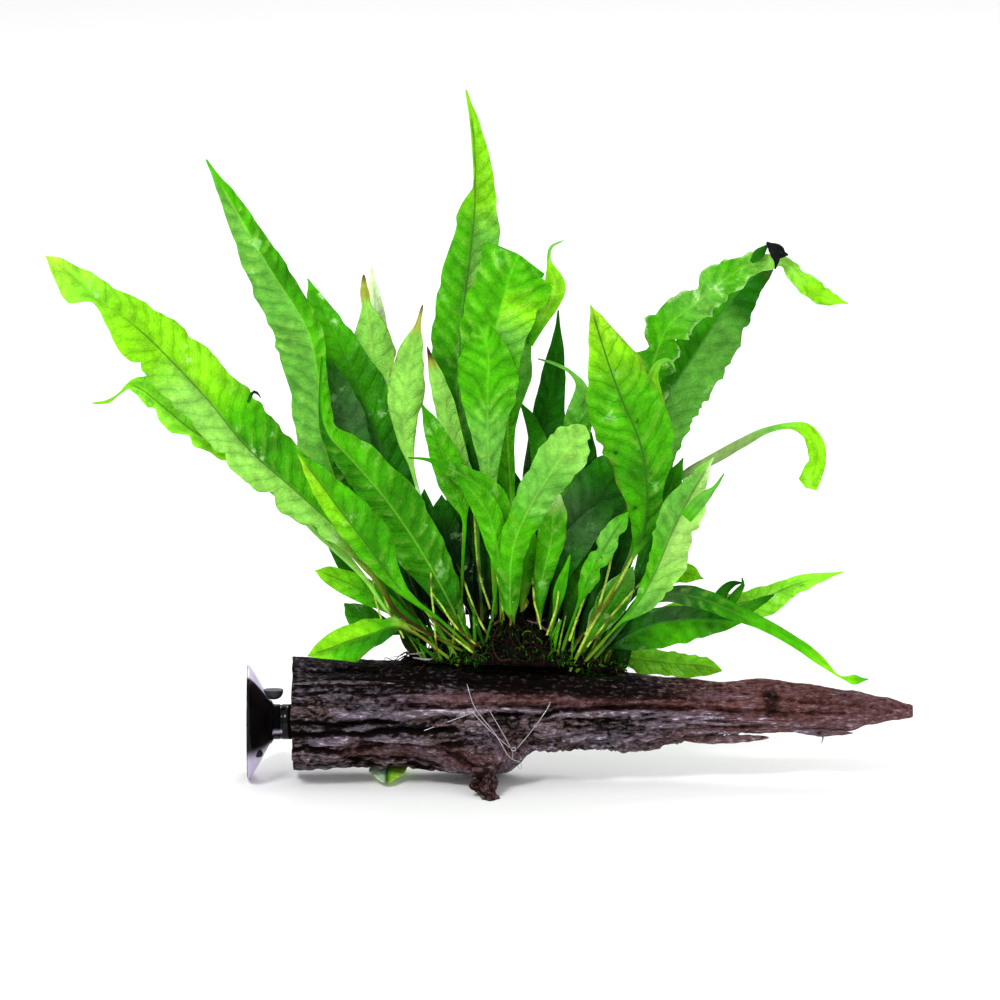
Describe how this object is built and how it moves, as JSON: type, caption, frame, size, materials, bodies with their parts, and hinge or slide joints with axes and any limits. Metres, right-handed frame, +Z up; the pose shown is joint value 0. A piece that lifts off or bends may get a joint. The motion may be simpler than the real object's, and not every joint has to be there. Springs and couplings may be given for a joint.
{
  "type": "java fern on driftwood",
  "caption": "Java fern with long green leaves rooted on top of a piece of driftwood that tapers to a point, with a suction cup plugged into its sawn end.",
  "frame": {"origin": "on the surface that it rests on, below the middle of the outer box", "axes": "+X along the driftwood from the suction cup at its sawn end to its pointed end, +Y to the back, +Z up"},
  "size_m": [0.3022, 0.1156, 0.2312],
  "materials": {
    "wood": "satin",
    "roots": "matte",
    "rubber": "gloss",
    "line": "gloss",
    "leaf_bright": "satin",
    "leaf_middle": "satin",
    "leaf_dark": "satin",
    "leaf_pale": "satin"
  },
  "bodies": {
    "root": {"driftwood_log": "wood", "driftwood_stub": "wood", "suction_cup": "rubber", "root_mound": "roots", "tie_line": "line", "leaf_under_log": "leaf_middle", "leaf_long_left": "leaf_bright", "leaf_pale_left": "leaf_pale", "leaf_bright_left": "leaf_bright", "leaf_tall_left": "leaf_middle", "leaf_dark_left": "leaf_dark", "leaf_shaded_left": "leaf_dark", "leaf_broad_left": "leaf_middle", "leaf_low_left": "leaf_bright", "leaf_small_left": "leaf_dark", "leaf_narrow_left": "leaf_dark", "leaf_front_left": "leaf_bright", "leaf_pale_back": "leaf_pale", "leaf_faint_back": "leaf_pale", "leaf_pale_pointed": "leaf_pale", "leaf_bright_narrow": "leaf_bright", "leaf_pale_narrow": "leaf_pale", "leaf_inner_left": "leaf_dark", "leaf_tallest": "leaf_middle", "leaf_front_centre": "leaf_bright", "leaf_folded_centre": "leaf_middle", "leaf_dark_centre": "leaf_dark", "leaf_middle_centre": "leaf_dark", "leaf_inner_centre": "leaf_dark", "leaf_tendril": "leaf_middle", "leaf_bright_right": "leaf_bright", "leaf_curl_right": "leaf_bright", "leaf_upper_right": "leaf_dark", "leaf_wavy_right": "leaf_pale", "leaf_ribbon_right": "leaf_bright", "leaf_torn_right": "leaf_bright", "leaf_strip_right": "leaf_dark", "leaf_shaded_right": "leaf_dark", "leaf_shaded_middle": "leaf_dark", "leaf_root_right": "leaf_middle", "leaf_small_front": "leaf_bright", "leaf_dark_low_right": "leaf_dark", "leaf_ribbon_low_right": "leaf_middle", "leaf_bright_low_right": "leaf_bright", "leaf_tip_low_right": "leaf_bright", "leaf_low_right": "leaf_bright", "leaf_blunt_front": "leaf_bright", "leaf_cut_front": "leaf_bright", "leaf_thin_left_centre": "leaf_middle", "leaf_thin_centre": "leaf_bright", "leaf_young_one": "leaf_middle", "leaf_young_two": "leaf_middle"}
  },
  "joints": []
}
